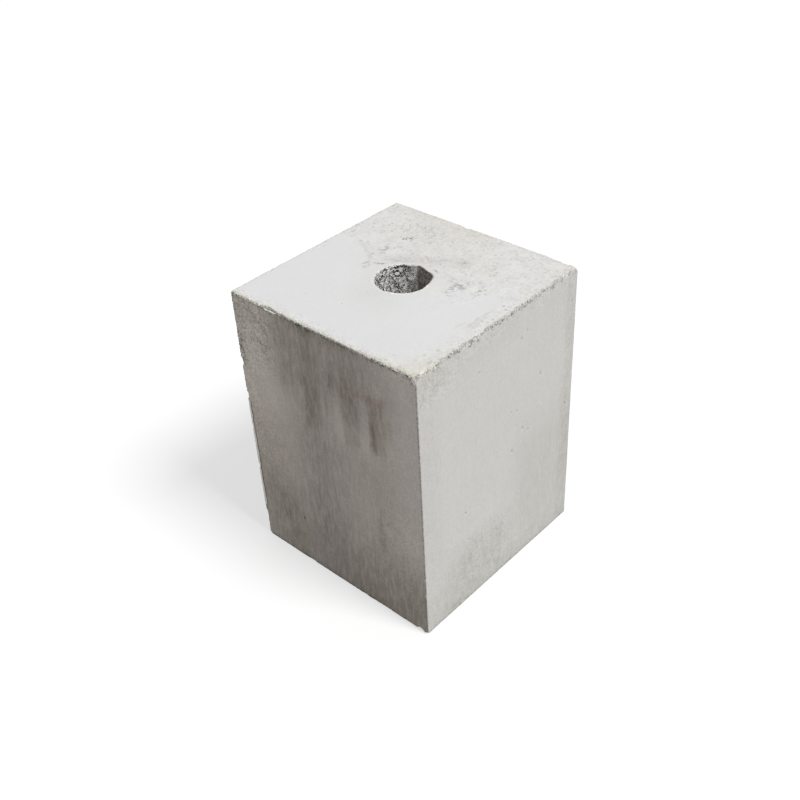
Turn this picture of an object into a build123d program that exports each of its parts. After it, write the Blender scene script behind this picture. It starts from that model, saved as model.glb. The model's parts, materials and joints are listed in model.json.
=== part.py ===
"""Concrete deck pier block: one cast square column with a socket cored down its middle.

The block stands on its base. X runs to the right, Y to the back and Z up, with the
origin at the middle of the base. All sizes are in millimetres.
"""

import os
from dataclasses import dataclass
from math import cos, radians, sin

from build123d import *

os.makedirs("parts", exist_ok=True)

# Cast body
block_width = 150.0
block_depth = 150.0
block_height = 200.0

# Socket for a dowel, a rebar pin or a post's spigot
bore_diameter = 35.0
rim_wear = 0.6

# Rounding that handling has worn on the arrises
arris_radius = 0.9
base_radius = 0.5

# Ridge that leaked out of the mould's joint, in runs up the front left upright arris
flash_base = 1.4
flash_root = 2.5
flash_runs = [(26.0, 116.0), (152.0, 168.0)]

half_width = block_width / 2
half_depth = block_depth / 2
bore_radius = bore_diameter / 2


@dataclass(frozen=True)
class Arris:
    """An outer edge of the body: where it starts, how it runs and which way is out."""

    start: Vector
    along: Vector
    outward: Vector


@dataclass(frozen=True)
class Chip:
    """A shell-shaped flake lost from an arris, its middle measured from the arris's start."""

    arris: Arris
    from_start: float
    length: float
    depth: float


@dataclass(frozen=True)
class RimChip:
    """A flake lost from the socket's upper rim, at an angle from the X axis."""

    angle: float
    length: float
    depth: float


@dataclass(frozen=True)
class BrokenCorner:
    """A corner knocked off, with the length lost from each of its three arrises."""

    side_x: int
    side_y: int
    height: float
    lost_x: float
    lost_y: float
    lost_z: float


left, right, front, back = -1, 1, -1, 1

top_front = Arris(
    Vector(-half_width, -half_depth, block_height), Vector(1, 0, 0), Vector(0, -1, 1)
)
top_right = Arris(
    Vector(half_width, -half_depth, block_height), Vector(0, 1, 0), Vector(1, 0, 1)
)
top_back = Arris(
    Vector(half_width, half_depth, block_height), Vector(-1, 0, 0), Vector(0, 1, 1)
)
upright_left = Arris(
    Vector(-half_width, -half_depth, 0), Vector(0, 0, 1), Vector(-1, -1, 0)
)
upright_middle = Arris(
    Vector(half_width, -half_depth, 0), Vector(0, 0, 1), Vector(1, -1, 0)
)
base_front = Arris(
    Vector(half_width, -half_depth, 0), Vector(-1, 0, 0), Vector(0, -1, -1)
)

chips = [
    Chip(top_front, from_start=9.0, length=6.0, depth=1.2),
    Chip(top_front, from_start=34.0, length=15.0, depth=2.0),
    Chip(top_front, from_start=45.0, length=7.0, depth=1.4),
    Chip(top_front, from_start=97.0, length=6.0, depth=1.0),
    Chip(top_front, from_start=137.0, length=7.0, depth=1.4),
    Chip(top_right, from_start=17.0, length=26.0, depth=1.7),
    Chip(top_right, from_start=55.0, length=15.0, depth=1.5),
    Chip(top_right, from_start=79.0, length=7.0, depth=1.2),
    Chip(top_right, from_start=112.0, length=8.0, depth=1.4),
    Chip(top_right, from_start=122.0, length=6.0, depth=1.3),
    Chip(top_right, from_start=139.0, length=7.0, depth=1.3),
    Chip(top_back, from_start=9.0, length=8.0, depth=1.4),
    Chip(upright_left, from_start=14.0, length=22.0, depth=1.6),
    Chip(upright_left, from_start=122.0, length=7.0, depth=1.2),
    Chip(upright_left, from_start=146.0, length=8.0, depth=1.4),
    Chip(upright_middle, from_start=35.0, length=5.0, depth=0.9),
    Chip(upright_middle, from_start=50.0, length=5.0, depth=0.9),
    Chip(base_front, from_start=6.0, length=7.0, depth=2.0),
    Chip(base_front, from_start=26.0, length=24.0, depth=0.8),
]

rim_chips = [
    RimChip(angle=101.0, length=4.0, depth=1.3),
    RimChip(angle=50.0, length=13.0, depth=1.6),
    RimChip(angle=298.0, length=12.0, depth=1.0),
]

broken_corners = [
    BrokenCorner(right, front, block_height, lost_x=4.0, lost_y=4.5, lost_z=6.5),
    BrokenCorner(left, front, block_height, lost_x=1.6, lost_y=3.2, lost_z=2.2),
    BrokenCorner(right, back, block_height, lost_x=3.0, lost_y=3.5, lost_z=3.0),
    BrokenCorner(left, front, 0.0, lost_x=3.2, lost_y=3.2, lost_z=5.0),
    BrokenCorner(right, front, 0.0, lost_x=3.0, lost_y=2.6, lost_z=2.2),
]


def flake(edge_point, outward, length, depth):
    """Return the centre and radius of the ball that bites a flake out of an edge."""
    radius = (length**2 / 4 + depth**2) / (2 * depth)
    return edge_point + outward.normalized() * (radius - depth), radius


def break_plane(corner):
    """Return the plane of a knocked-off corner, its normal pointing away from the body."""
    inward_z = 1 if corner.height == 0 else -1
    tip = Vector(corner.side_x * half_width, corner.side_y * half_depth, corner.height)
    on_x = tip - Vector(corner.side_x * corner.lost_x, 0, 0)
    on_y = tip - Vector(0, corner.side_y * corner.lost_y, 0)
    on_z = tip + Vector(0, 0, inward_z * corner.lost_z)
    normal = (on_y - on_x).cross(on_z - on_x)
    if normal.dot(tip - on_x) < 0:
        normal = -normal
    return Plane(origin=on_x, x_dir=on_y - on_x, z_dir=normal)


with BuildPart() as pier_block:
    # The body as it left its mould
    with BuildSketch():
        Rectangle(block_width, block_depth)
    extrude(amount=block_height)

    # Worn arrises
    base_edges = pier_block.faces().sort_by(Axis.Z)[0].edges()
    fillet(pier_block.edges() - base_edges, radius=arris_radius)
    fillet(pier_block.faces().sort_by(Axis.Z)[0].edges(), radius=base_radius)

    # Mould flash, standing no further out than the arris did when it was sharp
    for bottom, top in flash_runs:
        flash_plane = Plane(
            origin=upright_left.start + upright_left.along * bottom,
            x_dir=upright_left.outward,
            z_dir=upright_left.along,
        )
        with BuildSketch(flash_plane):
            with BuildLine():
                Polyline(
                    (0, 0),
                    (-flash_root, flash_base / 2),
                    (-flash_root, -flash_base / 2),
                    close=True,
                )
            make_face()
        extrude(amount=top - bottom)

    # Corners knocked off
    for corner in broken_corners:
        split(bisect_by=break_plane(corner), keep=Keep.BOTTOM)

    # Socket, its rims worn
    with Locations(Plane.XY.offset(block_height)):
        Hole(bore_radius)
    rims = pier_block.edges().filter_by(GeomType.CIRCLE)
    chamfer(rims.filter_by(lambda rim: rim.radius == bore_radius), length=rim_wear)

    # Flakes lost from the arrises and from the socket's upper rim
    for chip in chips:
        middle = chip.arris.start + chip.arris.along * chip.from_start
        centre, ball = flake(middle, chip.arris.outward, chip.length, chip.depth)
        with Locations(centre):
            Sphere(ball, mode=Mode.SUBTRACT)
    for chip in rim_chips:
        away = Vector(cos(radians(chip.angle)), sin(radians(chip.angle)), 0)
        on_rim = away * bore_radius + Vector(0, 0, block_height)
        centre, ball = flake(on_rim, Vector(0, 0, 1) - away, chip.length, chip.depth)
        with Locations(centre):
            Sphere(ball, mode=Mode.SUBTRACT)

pier_block.part.label = "pier_block"
export_step(pier_block.part, "parts/pier_block.step")
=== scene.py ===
"""The looks of a concrete deck pier block: a cast square column, worn, chipped and stained.

The block stands on its base, with X to the right, Y to the back and Z up. Its shape and its
marks are written in millimetres and brought to metres once, when the mesh is finished.
"""

import json
import logging
import math
import random
from dataclasses import dataclass
from enum import Enum

import bmesh
import bpy
from mathutils import Matrix, Vector, kdtree, noise


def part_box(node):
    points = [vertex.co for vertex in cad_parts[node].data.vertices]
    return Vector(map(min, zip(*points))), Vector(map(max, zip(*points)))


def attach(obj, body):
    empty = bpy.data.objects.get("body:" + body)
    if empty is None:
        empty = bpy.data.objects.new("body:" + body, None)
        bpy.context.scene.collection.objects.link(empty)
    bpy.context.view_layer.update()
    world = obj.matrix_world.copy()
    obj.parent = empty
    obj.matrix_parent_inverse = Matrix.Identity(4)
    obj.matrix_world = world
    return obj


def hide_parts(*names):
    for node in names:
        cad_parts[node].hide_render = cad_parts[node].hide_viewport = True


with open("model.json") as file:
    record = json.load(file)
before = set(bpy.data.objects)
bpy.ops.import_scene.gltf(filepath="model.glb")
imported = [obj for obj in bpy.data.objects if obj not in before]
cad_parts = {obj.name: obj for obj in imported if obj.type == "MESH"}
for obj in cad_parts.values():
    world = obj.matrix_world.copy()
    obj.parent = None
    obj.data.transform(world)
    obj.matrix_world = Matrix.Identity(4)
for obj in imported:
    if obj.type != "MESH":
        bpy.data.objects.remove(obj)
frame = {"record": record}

LOG = logging.getLogger("pier_block")

METRES = 0.001
NODE = "pier_block"
BODY = "root"
WHITE = (1.0, 1.0, 1.0, 1.0)

Triple = tuple[float, float, float]
Colour = Triple
Socket = bpy.types.NodeSocket


class Side(Enum):
    """An outer face of the block: the axis it looks along, and which way along it."""

    FRONT = (1, -1)
    RIGHT = (0, 1)
    BACK = (1, 1)
    LEFT = (0, -1)
    TOP = (2, 1)
    BASE = (2, -1)

    @property
    def axis(self) -> int:
        """Return the axis that the face looks along."""
        return self.value[0]

    @property
    def sense(self) -> int:
        """Return 1 where the face looks along its axis, and -1 where it looks against it."""
        return self.value[1]

    @property
    def upright(self) -> bool:
        """Return whether the face stands upright."""
        return self.axis < 2

    @property
    def normal(self) -> Vector:
        """Return the face's outward direction."""
        out = Vector((0.0, 0.0, 0.0))
        out[self.axis] = float(self.sense)
        return out

    @property
    def across(self) -> Vector:
        """Return the direction that runs to the right for someone facing the face."""
        return Vector((0.0, 0.0, 1.0)).cross(self.normal) if self.upright else Vector((1.0, 0.0, 0.0))

    @property
    def upward(self) -> Vector:
        """Return the direction that runs up the face."""
        return self.normal.cross(self.across)


FRONT, RIGHT, BACK, LEFT, TOP, BASE = Side


def other_axes(*taken: int) -> list[int]:
    """Return the axes that are left when some are taken."""
    return [axis for axis in range(3) if axis not in taken]


def smooth_step(low: float, high: float, value: float) -> float:
    """Ease from 0 to 1 as a value passes from one edge to the other.

    Args:
        low: the edge where the result is 0.
        high: the edge where the result is 1, which may lie below the other.
        value: the value to place between them.

    Returns:
        A number from 0 to 1.
    """
    t = min(max((value - low) / (high - low), 0.0), 1.0)
    return t * t * (3.0 - 2.0 * t)


def swells(point: Vector, grain: float, shift: Triple = (0.0, 0.0, 0.0)) -> float:
    """Return smooth noise from about -1 to 1, whose swells have a size in millimetres."""
    return noise.noise(point / grain + Vector(shift))


def crumbles(
    point: Vector, grain: float, rough: float = 0.8, octaves: int = 3, shift: Triple = (0.0, 0.0, 0.0)
) -> float:
    """Return rough noise around 0, whose lumps have a size in millimetres."""
    return noise.fractal(point / grain + Vector(shift), rough, 2.0, octaves)


def linear(red: int, green: int, blue: int) -> Colour:
    """Turn a colour as a screen shows it, from 0 to 255, into scene-linear light.

    Args:
        red: the red part.
        green: the green part.
        blue: the blue part.

    Returns:
        The three parts in scene-linear light.
    """
    shares = [value / 255.0 for value in (red, green, blue)]
    return tuple(s / 12.92 if s <= 0.04045 else ((s + 0.055) / 1.055) ** 2.4 for s in shares)


def direction(azimuth: float, height: float) -> Vector:
    """Return the direction at an azimuth from the X axis and a height, both in degrees."""
    turn, rise = math.radians(azimuth), math.radians(height)
    return Vector((math.cos(turn) * math.cos(rise), math.sin(turn) * math.cos(rise), math.sin(rise)))


def add_object(name: str, data: bpy.types.ID) -> bpy.types.Object:
    """Return a new object of the scene that holds some data."""
    item = bpy.data.objects.new(name, data)
    bpy.context.scene.collection.objects.link(item)
    return item


@dataclass(frozen=True)
class BlockSize:
    """The block's own dimensions in millimetres, read from the frame."""

    half_width: float
    half_depth: float
    height: float
    bore_radius: float

    @classmethod
    def from_frame(cls) -> "BlockSize":
        """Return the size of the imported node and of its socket."""
        low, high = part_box(NODE)
        socket = next(m for m in frame["record"]["mounts"] if m["name"] == "socket")
        return cls(
            half_width=(high[0] - low[0]) / 2 / METRES,
            half_depth=(high[1] - low[1]) / 2 / METRES,
            height=high[2] / METRES,
            bore_radius=socket["dims"]["r_mm"],
        )

    @property
    def middle(self) -> Vector:
        """Return the middle of the block."""
        return Vector((0.0, 0.0, self.height / 2))

    @property
    def half(self) -> Vector:
        """Return half of the block's width, depth and height."""
        return Vector((self.half_width, self.half_depth, self.height / 2))

    def gap(self, side: Side, point: Vector) -> float:
        """Return how far a point lies inside one face."""
        return self.half[side.axis] - (point - self.middle)[side.axis] * side.sense

    def meeting(self, *sides: Side) -> Vector:
        """Return the middle of one face, of the arris of two, or the corner of three."""
        return self.middle + sum((side.normal * self.half[side.axis] for side in sides), Vector())

    def place(self, side: Side, across: float, up: float) -> Vector:
        """Return the point of a face at a place on it.

        Args:
            side: the face.
            across: X on the front, back, top and base, and Y on the left and right.
            up: Z on an upright face, and Y on the top and base.

        Returns:
            The point in the block's own frame.
        """
        point = self.meeting(side)
        first, second = other_axes(side.axis)
        point[first], point[second] = across, up
        return point


@dataclass(frozen=True)
class Stretch:
    """A length of an arris that is worn to a radius of its own, or carries mould flash: pale paste,
    brightened further as a painted highlight.
    """

    low: float
    high: float
    radius: float
    crumb: float
    pale: float = 0.0


@dataclass(frozen=True)
class Chip:
    """A shell-shaped flake lost from an arris, its middle given along that arris's own axis."""

    along: float
    length: float
    depth: float


@dataclass(frozen=True)
class Arris:
    """The edge between two faces: its mean radius, how that wavers, its crumbs and its chips."""

    sides: tuple[Side, ...]
    radius: float = 0.7
    waver: float = 0.5
    crumb: float = 0.2
    band: float = 1.8
    stretches: tuple[Stretch, ...] = ()
    chips: tuple[Chip, ...] = ()


@dataclass(frozen=True)
class Cove:
    """A flake that left a steep wall below one face, darkened as painted shade, and a ledge at the edge of
    the other, pale paste brightened as a painted highlight.
    """

    upper: Side
    lower: Side
    along: float
    length: float
    depth: float


@dataclass(frozen=True)
class BrokenCorner:
    """A corner knocked off: its three faces, and the length lost from each arris."""

    sides: tuple[Side, Side, Side]
    lost: Triple


@dataclass(frozen=True)
class Pit:
    """An air hole or a nick in a face."""

    across: float
    up: float
    radius: float
    depth: float
    tall: float = 1.0


@dataclass(frozen=True)
class RimWave:
    """A place where the socket's mouth stands wider or narrower than a circle."""

    angle: float
    spread: float
    reach: float


PLAIN_ARRIS = Arris(())

ARRISES = (
    Arris(
        (FRONT, TOP), 2.0, 0.5, 0.5, 2.6,
        stretches=(Stretch(58, 75, 2.5, 0.7),),
        chips=(Chip(-66, 6, 1.0), Chip(-12, 5, 0.7), Chip(22, 6, 0.8)),
    ),
    Arris(
        (RIGHT, TOP), 1.0, 0.8, 0.5, 2.4,
        stretches=(Stretch(-75, -56, 2.6, 0.3), Stretch(60, 75, 1.8, 0.3)),
        chips=(
            Chip(-58, 12, 1.5),
            Chip(-20, 14, 1.3),
            Chip(4, 7, 1.1),
            Chip(37, 8, 1.3),
            Chip(47, 6, 1.2),
            Chip(64, 7, 1.2),
        ),
    ),
    Arris(
        (BACK, TOP), 0.4, 0.5,
        stretches=(Stretch(56, 75, 1.5, 0.3),),
        chips=(Chip(66, 8, 1.4), Chip(-12, 8, 1.0)),
    ),
    Arris(
        (LEFT, FRONT), 0.5, 0.6, 0.5, 2.0,
        stretches=(
            Stretch(0, 21, 2.0, 0.4),
            Stretch(27, 117, 0.15, 0.4, 1.0),
            Stretch(152, 168, 0.12, 0.7, 0.3),
        ),
        chips=(Chip(148, 7, 1.4), Chip(122, 7, 1.2), Chip(96, 5, 0.7), Chip(62, 6, 0.8)),
    ),
    Arris((FRONT, RIGHT), 0.4, 0.4, 0.08, 0.8, chips=(Chip(50, 5, 0.8), Chip(35, 5, 0.8), Chip(118, 4, 0.5))),
    Arris(
        (FRONT, BASE), 0.3, 0.8, 0.25, 1.2,
        stretches=(Stretch(28, 75, 0.9, 0.3),),
        chips=(Chip(69, 7, 2.0), Chip(20, 6, 0.6), Chip(-30, 9, 0.6)),
    ),
    Arris((BACK, LEFT), chips=(Chip(60, 10, 1.3), Chip(130, 6, 0.9))),
    Arris(
        (LEFT, TOP), 1.0,
        stretches=(Stretch(14, 52, 1.1, 0.3),),
        chips=(Chip(29, 7, 0.9), Chip(-38, 6, 0.7)),
    ),
    Arris((RIGHT, BASE), 0.3, 0.5, 0.16, 1.0),
    Arris((RIGHT, BACK), 0.5, 0.4, 0.12, 1.4),
)

COVES = (
    Cove(TOP, FRONT, -41, 15, 1.9),
    Cove(TOP, FRONT, -30, 7, 1.3),
    Cove(TOP, FRONT, 62, 7, 1.2),
)

BROKEN_CORNERS = (
    BrokenCorner((RIGHT, FRONT, TOP), (4.0, 4.5, 6.5)),
    BrokenCorner((LEFT, FRONT, BASE), (3.2, 3.2, 5.0)),
    BrokenCorner((RIGHT, FRONT, BASE), (3.0, 2.6, 2.2)),
    BrokenCorner((RIGHT, BACK, TOP), (3.0, 3.5, 3.0)),
    BrokenCorner((LEFT, FRONT, TOP), (1.6, 3.2, 2.2)),
)

PITS = {
    TOP: (
        Pit(33, 20.5, 0.8, 0.4),
        Pit(35, 16.5, 0.6, 0.4),
        Pit(33, 10, 0.7, 0.35),
        Pit(36.5, 9.5, 0.6, 0.35),
        Pit(32, 6, 0.8, 0.4),
        Pit(30, 2, 0.7, 0.5),
        Pit(45.5, 16.5, 0.7, 0.6),
        Pit(47, 12.5, 0.8, 0.6),
        Pit(46.5, 8, 0.6, 0.4),
        Pit(66.5, 11, 1, 0.6),
        Pit(73, 40, 0.8, 0.6),
        Pit(-32, 41, 1, 0.5),
        Pit(-30, 38.5, 0.8, 0.4),
        Pit(-34, 58, 0.8, 0.3),
        Pit(-39, 54.5, 0.7, 0.4),
        Pit(-17, 55, 0.7, 0.4),
        Pit(-5, 49, 0.7, 0.4),
        Pit(17, 37.5, 0.8, 0.3),
        Pit(34, 46, 0.9, 0.5),
        Pit(44, 61, 0.7, 0.4),
        Pit(-70, 0, 0.9, 0.6),
        Pit(-11, -44, 0.6, 0.4),
        Pit(-36, -49, 0.6, 0.3),
    ),
    RIGHT: (
        Pit(21.5, 108, 0.6, 0.7, 2.6),
        Pit(27.5, 103.5, 0.55, 0.6, 2.4),
        Pit(11, 96, 0.5, 0.6, 3.2),
        Pit(10, 127, 0.6, 0.4, 1.6),
        Pit(15.5, 125, 0.6, 0.4, 1.6),
        Pit(-35.4, 76, 0.7, 0.5, 1.6),
        Pit(-33, 52, 0.9, 0.6),
        Pit(-3.4, 39, 0.9, 0.4),
        Pit(70, 178, 0.8, 0.6),
        Pit(68, 101, 0.8, 0.5, 1.8),
        Pit(-21, 174, 0.6, 0.4, 1.6),
        Pit(39, 141, 0.8, 0.4, 2.2),
        Pit(19, 177, 0.5, 0.4, 3.6),
        Pit(24.5, 180, 0.45, 0.3, 3),
    ),
    FRONT: (
        Pit(-33.4, 37.6, 1.1, 0.9, 1.4),
        Pit(-42, 50, 0.6, 0.3),
        Pit(46, 78, 0.5, 0.3, 2),
    ),
}

STREWN_SEED = 21
STREWN_PITS = {BACK: 22, LEFT: 20, BASE: 14}
STREWN_ACROSS = (25, 66)
STREWN_HEIGHT = (12, 188)
STREWN_DEPTH = (-62, 62)
STREWN_RADIUS = (0.5, 1.1)
STREWN_TALL = (1.0, 2.2)

RIM_WAVES = (
    RimWave(angle=50, spread=13, reach=0.9),
    RimWave(angle=10, spread=14, reach=-0.6),
    RimWave(angle=76, spread=9, reach=-0.7),
    RimWave(angle=101, spread=5, reach=0.9),
    RimWave(angle=292, spread=30, reach=-0.45),
)


@dataclass
class Wear:
    """What wear has done at one point: where it lies, how its skin has changed, and its painted shade and
    highlight.
    """

    place: Vector
    broken: float = 0.0
    pitted: float = 0.0
    pale: float = 0.0


@dataclass
class Weathering:
    """Moves the points of a sharp block to where years of handling have left them."""

    size: BlockSize
    relief: float = 0.07
    least_radius: float = 0.12
    ease_before: float = 3.0
    ease_within: float = 2.0
    fin_width: float = 1.8
    groove_width: float = 1.2
    groove_depth: float = 0.3
    chip_ragged: float = 0.25
    corner_ragged: float = 0.6
    corner_bulge: float = 0.004
    rim_radius: float = 0.45
    rim_reach: float = 9.0
    lip_width: float = 1.8
    wall_coarse: float = 0.38
    wall_fine: float = 0.18
    mouth_shift: tuple[float, float] = (-1.1, -0.4)
    mouth_depth: float = 14.0
    # A painted highlight on the near side of the socket's upper rim: the angle it centres on, and its width.
    rim_highlight_angle: float = 320.0
    rim_highlight_width: float = 2.6

    def __post_init__(self) -> None:
        """Work out the balls and planes that chips and broken corners were cut by."""
        self.arrises = {frozenset(arris.sides): arris for arris in ARRISES}
        self.balls = [self._ball(arris, chip) for arris in ARRISES for chip in arris.chips]
        self.planes = [self._plane(corner) for corner in BROKEN_CORNERS]
        self.pits = [(side, self.size.place(side, p.across, p.up), p) for side, p in self.all_pits()]

    @staticmethod
    def all_pits() -> list[tuple[Side, Pit]]:
        """Return the listed pits and those strewn over the unseen faces."""
        pits = [(side, pit) for side, marks in PITS.items() for pit in marks]
        draw = random.Random(STREWN_SEED)
        for side, count in STREWN_PITS.items():
            for _ in range(count):
                up = draw.uniform(*(STREWN_HEIGHT if side.upright else STREWN_DEPTH))
                across = draw.uniform(*STREWN_ACROSS) * draw.choice((-1, 1))
                radius = draw.uniform(*STREWN_RADIUS)
                pits.append((side, Pit(across, up, radius, radius * 0.7, draw.uniform(*STREWN_TALL))))
        return pits

    def _ball(self, arris: Arris, chip: Chip) -> tuple[Vector, Vector, float]:
        """Return a chip's ball.

        Args:
            arris: the arris that the chip was lost from.
            chip: the chip.

        Returns:
            The ball's centre, the way out of the block and the ball's radius.
        """
        point = self.size.meeting(*arris.sides)
        point[other_axes(*(side.axis for side in arris.sides))[0]] = chip.along
        out = sum((side.normal for side in arris.sides), Vector()).normalized()
        radius = (chip.length**2 / 4 + chip.depth**2) / (2 * chip.depth)
        return point + out * (radius - chip.depth), out, radius

    def _plane(self, corner: BrokenCorner) -> tuple[Vector, Vector]:
        """Return a point of the plane that a corner broke at, and the plane's normal."""
        tip = self.size.meeting(*corner.sides)
        ends = [tip - side.normal * lost for side, lost in zip(corner.sides, corner.lost)]
        normal = (ends[1] - ends[0]).cross(ends[2] - ends[0]).normalized()
        return ends[0], normal if normal.dot(tip - ends[0]) > 0 else -normal

    def _edge_wear(self, point: Vector) -> tuple[float, float, float, float, float]:
        """Find how worn the block is near a point.

        Args:
            point: a point of the sharp block's surface.

        Returns:
            The radius of the nearest arris there, the depth of its crumbs, how near the
            point is to it, from 0 past the arris's band to 1 on the arris, how much of the
            mould's flash stands there, and how far the point lies from the arris.
        """
        gaps = sorted((self.size.gap(side, point), side.name, side) for side in Side)
        (_, _, first), (away, _, second) = gaps[:2]
        arris = self.arrises.get(frozenset((first, second)), PLAIN_ARRIS)
        radius, crumb, flash = arris.radius, arris.crumb, 0.0
        along = point[other_axes(first.axis, second.axis)[0]]
        for stretch in arris.stretches:
            low, high = stretch.low, stretch.high
            inside = smooth_step(low - self.ease_before, low + self.ease_within, along)
            inside *= smooth_step(high + self.ease_before, high - self.ease_within, along)
            radius += (stretch.radius - radius) * inside
            crumb += (stretch.crumb - crumb) * inside
            flash = max(flash, stretch.pale * inside)
        slow = swells(point, 11.0, (3.1, 7.7, 1.3))
        quick = swells(point, 3.2, (9.4, 2.2, 5.8))
        radius = max(self.least_radius, radius * (1.0 + arris.waver * (0.8 * slow + 0.5 * quick)))
        near = 1.0 - smooth_step(0.0, arris.band + radius, away)
        return radius, crumb, near, flash, away + 0.6 * quick

    def _round_off(self, point: Vector, radius: float) -> tuple[Vector, Vector]:
        """Bring a point of the sharp block onto its rounded form.

        Args:
            point: a point of the sharp block's surface.
            radius: the radius of its arrises there.

        Returns:
            The moved point, and the outward direction there.
        """
        half = self.size.half
        local = point - self.size.middle
        core = Vector([max(min(local[i], half[i] - radius), radius - half[i]) for i in range(3)])
        out = local - core
        if out.length > radius:
            out = out * (radius / out.length)
        return self.size.middle + core + out, out.normalized()

    def _hollow_out(self, point: Vector, wear: Wear) -> None:
        """Move a point that lies in a cove onto the cove's curve.

        Args:
            point: a point of the sharp block's surface.
            wear: what wear has done to it so far, which is changed.
        """
        for cove in COVES:
            free = other_axes(cove.upper.axis, cove.lower.axis)[0]
            share = (point[free] - cove.along) * 2.0 / cove.length
            if abs(share) >= 1.0:
                continue
            from_upper = self.size.gap(cove.upper, point)
            from_lower = self.size.gap(cove.lower, point)
            ragged = 1.0 + 0.5 * swells(point, 2.2, (1.0, 6.0, 3.0))
            spread = cove.depth * math.sqrt(1.0 - share * share) * ragged
            if max(from_upper, from_lower) >= spread:
                continue
            turn = ((from_upper - from_lower) / spread + 1.0) * math.pi / 4
            edge = point + cove.upper.normal * from_upper + cove.lower.normal * from_lower
            inward = cove.lower.normal * math.cos(turn) + cove.upper.normal * math.sin(turn)
            wear.place = edge - inward * spread
            wear.broken = max(wear.broken, smooth_step(1.0, 0.6, abs(share)))
            # Painted shade on the cove's steep wall, and pale paste with a painted highlight on its ledge.
            wear.pitted = max(wear.pitted, smooth_step(1.2, 0.7, turn))
            wear.pale = max(wear.pale, smooth_step(1.15, 1.4, turn))

    def _body_point(self, point: Vector) -> Wear:
        """Wear a point of the block's outside.

        Args:
            point: a point of the sharp block's surface.

        Returns:
            What wear has done to it.
        """
        radius, crumb, near, flash, away = self._edge_wear(point)
        moved, out = self._round_off(point, radius)
        fin = flash * smooth_step(self.fin_width + 0.2, self.fin_width - 0.2, away)
        behind = abs(away - self.fin_width - self.groove_width / 2)
        groove = flash * smooth_step(self.groove_width / 2 + 0.2, 0.2, behind)
        # Painted shade in the groove beside the flash, and pale paste with a painted highlight on the flash.
        wear = Wear(moved - out * self.groove_depth * groove, near * 0.35, groove, fin)
        self._hollow_out(point, wear)
        swell = 0.5 + 0.5 * swells(point, 30.0)
        ripple = 0.5 + 0.5 * swells(point, 5.0, (4.0, 4.0, 4.0))
        wear.place -= out * self.relief * (0.7 * swell + 0.3 * ripple)
        if near > 0.0:
            lump = 0.5 + 0.5 * swells(point, 6.0, (2.5, 8.5, 6.5))
            loss = max(0.0, crumbles(point, 1.5) + 0.2) * crumb * near * (0.5 + lump)
            wear.place -= out * loss
            wear.broken = max(wear.broken, min(1.0, near * 0.6 + loss * 0.8))
        self._chip_off(point, wear)
        self._break_off(point, wear)
        return wear

    def _chip_off(self, point: Vector, wear: Wear) -> None:
        """Sink a point that lies in a chip onto the chip's ball.

        Args:
            point: a point of the sharp block's surface.
            wear: what wear has done to it so far, which is changed.
        """
        for centre, outward, ball_radius in self.balls:
            offset = wear.place - centre
            if offset.length_squared >= (ball_radius + 1.0) ** 2:
                continue
            reach = ball_radius + self.chip_ragged * crumbles(point, 2.0, 0.9)
            lean = offset.dot(outward)
            square = lean * lean - offset.length_squared + reach * reach
            depth = lean + math.sqrt(square) if square > 0.0 else 0.0
            if depth > 0.0:
                wear.place -= outward * depth
                wear.broken = max(wear.broken, smooth_step(0.0, 0.5, depth))

    def _break_off(self, point: Vector, wear: Wear) -> None:
        """Bring a point of a knocked-off corner onto the face that it broke at.

        Args:
            point: a point of the sharp block's surface.
            wear: what wear has done to it so far, which is changed.
        """
        for start, normal in self.planes:
            offset = wear.place - start
            over = offset.dot(normal)
            if over > -1.0:
                over += self.corner_ragged * crumbles(point, 3.0, 0.9, 4)
                over -= self.corner_bulge * offset.cross(normal).length_squared
            if over > 0.0:
                wear.place -= normal * over
                wear.broken = max(wear.broken, smooth_step(0.0, 0.6, over))

    def _mouth_wave(self, point: Vector, angle: float, depth: float) -> float:
        """Return how far the socket's wall stands out from a true circle's.

        Args:
            point: a point of the sharp block's surface, on or near the socket.
            angle: its angle from the X axis, in degrees.
            depth: how far it lies below the top or above the base.

        Returns:
            The distance, which fades down the socket and is small in its lower half.
        """
        shift = point.x * self.mouth_shift[0] + point.y * self.mouth_shift[1]
        wave = shift / math.hypot(point.x, point.y)
        for swell in RIM_WAVES:
            apart = abs((angle - swell.angle + 180.0) % 360.0 - 180.0)
            wave += swell.reach * math.exp(-((apart / swell.spread) ** 2))
        return wave * (math.exp(-depth / self.mouth_depth) if point.z > self.size.height / 2 else 0.4)

    def _rim_highlight(self, point: Vector, angle: float, lip: float) -> float:
        """Return the painted highlight on the near side of the socket's upper mouth, over a faint pale lip
        all round.

        Args:
            point: a point of the sharp block's top, near the socket.
            angle: its angle from the X axis, in degrees.
            lip: how near it is to the mouth's edge, from 0 to 1.

        Returns:
            A level from 0 to about 1.
        """
        radial = math.hypot(point.x, point.y)
        facing = 0.5 + 0.5 * math.cos(math.radians(angle - self.rim_highlight_angle))
        uneven = radial - self.size.bore_radius + 1.2 * swells(point, 2.0)
        ring = 1.0 - smooth_step(0.4 * self.rim_highlight_width, self.rim_highlight_width, uneven)
        return max(lip * 0.3, ring * facing * (0.55 + 0.7 * swells(point, 2.6, (6.0, 3.0, 8.0))))

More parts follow.
